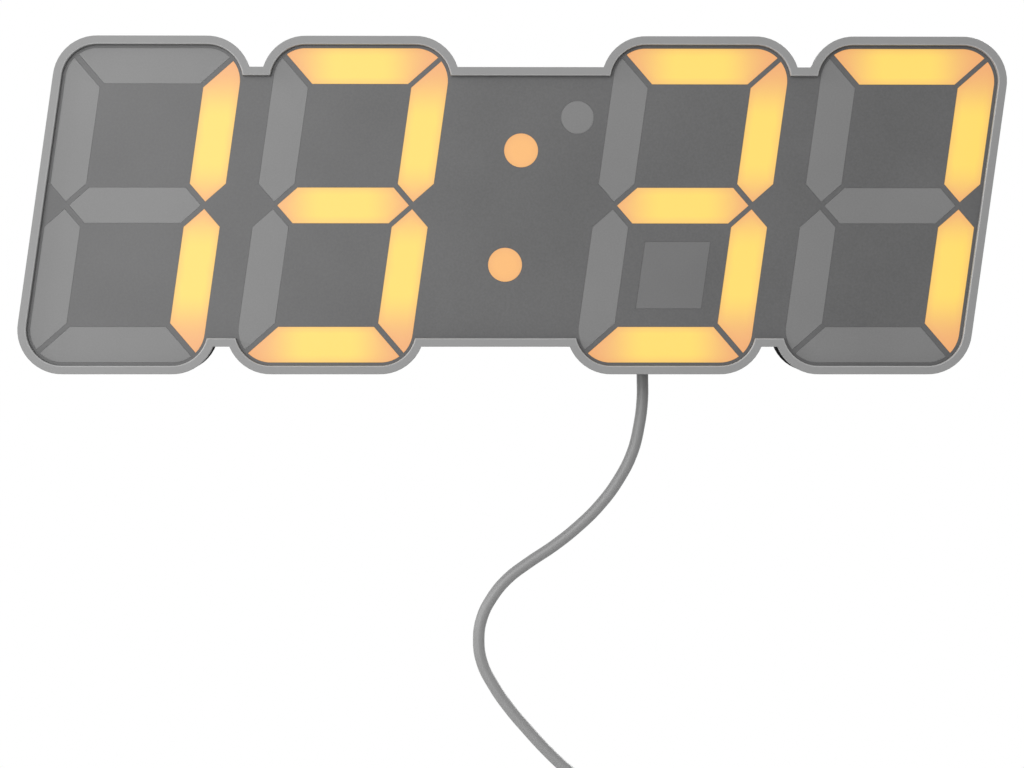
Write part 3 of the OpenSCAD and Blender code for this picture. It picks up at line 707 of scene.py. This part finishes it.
tie_fabric = woven("tie_fabric", (0.035, 0.035, 0.037), roughness=0.8, pitch=0.7 * MM)
strap = solid_of("cord_tie")
SQUARE = math.radians(60)
strap_round, lap_round = 0.2 * MM, 0.25 * MM
round_over(strap, [edge for edge in strap.edges if edge.calc_face_angle(0) > SQUARE], strap_round)
tie = piece(strap, "tie_strap", "case", tie_fabric, "tie_fabric", "cord_tie")
strap_front, strap_mid, half_strap = -10.7 * MM, Vector((62.5, 0, -226.55)) * MM, 5 * MM
lap_l, lap_t, lap_sunk = 9 * MM, 0.9 * MM, 0.1 * MM
tab = bmesh.new()
bmesh.ops.create_circle(
    tab, cap_ends=True, segments=48, radius=half_strap, matrix=Matrix.Rotation(math.pi / 2, 4, "X"))
whole = [*tab.verts, *tab.edges, *tab.faces]
bmesh.ops.bisect_plane(
    tab, geom=whole, dist=speck, plane_co=(0, 0, 0), plane_no=(1, 0, 0), clear_inner=True)
straight = [edge for edge in tab.edges if all(abs(vert.co.x) < hair for vert in edge.verts)]
run = bmesh.ops.extrude_edge_only(tab, edges=straight)
run_verts = [item for item in run["geom"] if isinstance(item, bmesh.types.BMVert)]
bmesh.ops.translate(tab, verts=run_verts, vec=(-lap_l, 0, 0))
bmesh.ops.dissolve_limit(tab, angle_limit=FLAT, verts=tab.verts, edges=tab.edges)
raised = bmesh.ops.extrude_face_region(tab, geom=tab.faces[:])
raised_verts = [item for item in raised["geom"] if isinstance(item, bmesh.types.BMVert)]
bmesh.ops.translate(tab, verts=raised_verts, vec=(0, -lap_t, 0))
bmesh.ops.recalc_face_normals(tab, faces=tab.faces)
round_over(tab, [edge for edge in tab.edges if edge.calc_face_angle(0) > SQUARE], lap_round)
bmesh.ops.translate(tab, verts=tab.verts, vec=strap_mid + Vector((0, strap_front + lap_sunk, 0)))
tie_tab = piece(tab, "tie_end", "case", tie_fabric, "tie_fabric")


# Plug: a grey grip moulded over the cord's end and over the root of a folded shell of nickel-plated steel.
# The grip has finger bars on its broad sides and rings round its neck. The shell has its latch windows, and
# gilt contacts lie on the tongue inside it.
plug_x, plug_y = 41.5 * MM, -13.6 * MM
neck_top, grip_top, grip_end, shell_end = -220 * MM, -226 * MM, -246 * MM, -258 * MM
grip_clear_x, grip_clear_y, grip_face_y, grip_round = 6.2 * MM, 3.3 * MM, 3.5 * MM, 0.8 * MM
plug_plastic = moulded(
    "plug_plastic", (0.26, 0.26, 0.26), roughness=0.5, grain=0.35 * MM, depth=0.015 * MM)
grip = solid_of("plug_grip")
ends = [
    edge for edge in grip.edges
    if edge.calc_face_angle(0) > SQUARE
    and all(min(abs(vert.co.z - grip_top), abs(vert.co.z - grip_end)) < hair for vert in edge.verts)
    and all(
        abs(vert.co.x - plug_x) > grip_clear_x or abs(vert.co.y - plug_y) > grip_clear_y
        for vert in edge.verts)
]
round_over(grip, ends, grip_round, segments=4)
bar_count, bar_step, bar_h, bar_first = 5, 2.8 * MM, 1.7 * MM, 3.4 * MM
bar_flank, bar_deep = 0.3 * MM, 0.4 * MM
bar_lows = [grip_end + bar_first + i * bar_step for i in range(bar_count)]
cut_across(grip, UP, [low + rise for low in bar_lows for rise in (0, bar_h)])
bars = [
    face for face in grip.faces
    if abs(face.normal.y) > FACING and abs(face.calc_center_median().y - plug_y) > grip_face_y
    and any(low < face.calc_center_median().z < low + bar_h for low in bar_lows)
]
bmesh.ops.inset_individual(grip, faces=bars, thickness=bar_flank, depth=-bar_deep, use_even_offset=True)
ring_count, ring_first, ring_step, ring_half, ring_draw = 3, 1.5 * MM, 1.4 * MM, 0.4 * MM, 0.85
rings = [neck_top - ring_first - ring_step * i for i in range(ring_count)]
cut_across(grip, UP, [ring + rise for ring in rings for rise in (-ring_half, 0, ring_half)])
drawn = [vert for vert in grip.verts if any(abs(vert.co.z - ring) < hair for ring in rings)]
to_axis = Matrix.Translation((-plug_x, -plug_y, 0))
bmesh.ops.scale(grip, vec=(ring_draw, ring_draw, 1), space=to_axis, verts=drawn)
grip_piece = piece(grip, "plug_moulding", "case", plug_plastic, "plug_plastic", "plug_grip")

plug_steel = drawn_metal("plug_steel", (0.75, 0.75, 0.76), roughness=0.25, grain=1.0 * MM)
shell_half_x, shell_half_y, fold_round = 6 * MM, 2.25 * MM, 0.5 * MM
window_x, window_w, window_low, window_h = 2.9 * MM, 2.4 * MM, 5.2 * MM, 2.4 * MM
sheath = solid_of("plug_shell")
folds = [
    edge for edge in sheath.edges
    if all(abs(abs(vert.co.x - plug_x) - shell_half_x) < hair for vert in edge.verts)
    and all(abs(abs(vert.co.y - plug_y) - shell_half_y) < hair for vert in edge.verts)
]
round_over(sheath, folds, fold_round, segments=3)
window_edges = [side * window_x + end * window_w / 2 for side in (-1, 1) for end in (-1, 1)]
cut_across(sheath, ACROSS, [plug_x + edge for edge in window_edges])
cut_across(sheath, UP, [shell_end + window_low, shell_end + window_low + window_h])
punched = [
    face for face in sheath.faces
    if abs(face.normal.y) > FACING
    and abs(abs(face.calc_center_median().x - plug_x) - window_x) < window_w / 2
    and 0 < face.calc_center_median().z - shell_end - window_low < window_h
]
bmesh.ops.delete(sheath, geom=punched, context="FACES")
open_edges = [edge for edge in sheath.edges if edge.is_boundary]
for side in (-1, 1):
    for face_side in (-1, 1):
        rim = [
            edge for edge in open_edges
            if (edge.verts[0].co.x - plug_x) * side > 0 and (edge.verts[0].co.y - plug_y) * face_side > 0
        ]
        bmesh.ops.bridge_loops(sheath, edges=rim)
bmesh.ops.recalc_face_normals(sheath, faces=sheath.faces)
shell_piece = piece(sheath, "plug_sheath", "case", plug_steel, "plug_steel", "plug_shell")

contact_gilt = drawn_metal("contact_gilt", (0.83, 0.62, 0.26), roughness=0.28, grain=0.6 * MM)
contact_w, contact_t, contact_y, contact_round = 1.0 * MM, 0.2 * MM, plug_y + 0.05 * MM, 0.06 * MM
contacts = bmesh.new()
for across, length in ((-3.5, 7.4), (-1.0, 6.4), (1.0, 6.4), (3.5, 7.4)):
    middle = Vector((plug_x + across * MM, contact_y, grip_end - length / 2 * MM))
    size = Matrix.Diagonal((contact_w, contact_t, length * MM, 1))
    bmesh.ops.create_cube(contacts, size=1, matrix=Matrix.Translation(middle) @ size)
round_over(contacts, contacts.edges[:], contact_round)
contact_piece = piece(contacts, "plug_contacts", "case", contact_gilt, "plug_steel")
finish_node(reflector_white, "plug_tongue")


# Room: a pale floor under the cord, a white surround and four soft lamps: a large one on the left in front
# of the face, one at each side for the walls of the rim, and one behind for the back.
ambient_level = 0.36
world = bpy.data.worlds.new("surround")
bpy.context.scene.world = world
world.use_nodes = True
world.node_tree.nodes.clear()
air = Tone(world.node_tree)
by_camera, by_gloss, through = (
    air.node("ShaderNodeLightPath", output=f"Is {ray} Ray") for ray in ("Camera", "Glossy", "Transmission"))
seen = by_camera + by_gloss + through
ambient = air.node("ShaderNodeBackground", {}, {"Color": (1, 1, 1, 1), "Strength": ambient_level})
backdrop = air.node("ShaderNodeBackground", {}, {"Color": (1, 1, 1, 1), "Strength": 1.0})
mixed = air.node("ShaderNodeMixShader", {}, {0: seen, 1: ambient, 2: backdrop})
outlet = world.node_tree.nodes.new("ShaderNodeOutputWorld")
world.node_tree.links.new(mixed.socket, outlet.inputs["Surface"])

floor_level, floor_r, fade_r, floor_mottle = cad_box[0].z - 0.5 * MM, 0.5, 0.3, 0.05
floor_low, floor_high = (0.8, 0.8, 0.8), (0.84, 0.84, 0.84)
ground = bmesh.new()
bmesh.ops.create_circle(
    ground, cap_ends=True, segments=96, radius=floor_r, matrix=Matrix.Translation((0, 0, floor_level)))
floor_mesh = bpy.data.meshes.new("floor")
ground.to_mesh(floor_mesh)
ground.free()
floor_pale, floor_shader, floor_start = surface("floor_pale", roughness=0.9)
spot = floor_start.node("ShaderNodeTexCoord", output="Object")
reach = floor_start.node("ShaderNodeVectorMath", {"operation": "LENGTH"}, {0: spot}, "Value")
fade = floor_start.node(
    "ShaderNodeMapRange", {"interpolation_type": "SMOOTHSTEP"},
    {"Value": reach, "From Min": fade_r, "From Max": floor_r, "To Min": 1.0, "To Max": 0.0})
feed(floor_shader, "Alpha", fade)
mottle = noise(floor_start, floor_mottle)
feed(floor_shader, "Base Color", between(floor_start, mottle, floor_low, floor_high))
floor_mesh.materials.append(floor_pale)
floor = bpy.data.objects.new("floor", floor_mesh)
bpy.context.scene.collection.objects.link(floor)


def soft_lamp(name, place, size, power):
    lamp = bpy.data.lights.new(name, "AREA")
    lamp.shape = "SQUARE"
    lamp.size = size
    lamp.energy = power
    holder = bpy.data.objects.new(name, lamp)
    bpy.context.scene.collection.objects.link(holder)
    holder.location = place
    holder.rotation_mode = "QUATERNION"
    holder.rotation_quaternion = (clock_mid - Vector(place)).to_track_quat("-Z", "Y")
    holder.visible_camera = False


soft_lamp("key_lamp", (-0.5, -1.06, 0.22), size=0.8, power=8.8)
soft_lamp("left_lamp", (-1.3, -0.3, 0.4), size=0.5, power=7)
soft_lamp("right_lamp", (1.3, -0.3, 0.4), size=0.5, power=2.5)
soft_lamp("back_lamp", (0.7, 1.2, 0.6), size=0.7, power=13)


# Camera: a metre in front of the rim, below and left of the middle, as in the photograph.
# It is turned a little to the right, so that the face fills the frame.
view = bpy.data.cameras.new("camera")
view.sensor_width = 36
view.lens = 119.94
eye = bpy.data.objects.new("camera", view)
eye.location = (-0.01495, -1.027, -0.07286)
turned_up, turned_right = 0.00042, 0.0146
eye.rotation_euler = (math.pi / 2 + turned_up, 0, -turned_right)
bpy.context.scene.collection.objects.link(eye)
bpy.context.scene.camera = eye
bpy.context.scene.view_settings.view_transform = "Standard"
